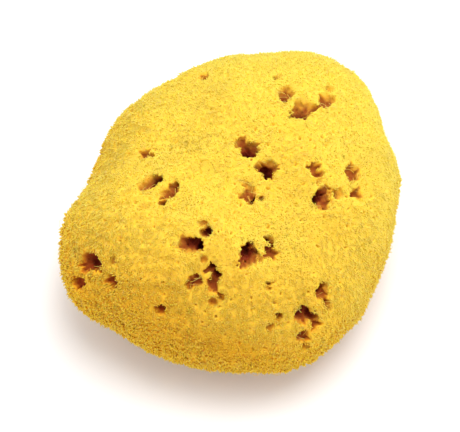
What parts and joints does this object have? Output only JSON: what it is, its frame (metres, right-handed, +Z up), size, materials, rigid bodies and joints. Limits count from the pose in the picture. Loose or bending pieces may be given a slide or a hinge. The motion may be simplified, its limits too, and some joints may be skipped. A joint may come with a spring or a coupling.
{
  "type": "sea sponge",
  "caption": "Dried natural bath sponge: a low rounded cushion of springy fibre with open mouths and canals, cut flat underneath so that it rests on a surface.",
  "frame": {"origin": "middle of the sponge's box in plan, on the surface that it rests on", "axes": "+Z up out of the cut base; +Y towards the broad back, along the longest side; +X to the right as seen from the front, where the lobe with the low cluster of mouths faces"},
  "size_m": [0.1394, 0.144, 0.0717],
  "materials": {
    "spongin": "matt, fuzzy tufts of springy fibre, golden yellow outside and orange to red-brown in the canals"
  },
  "bodies": {
    "root": {"sponge": "spongin"}
  },
  "joints": []
}
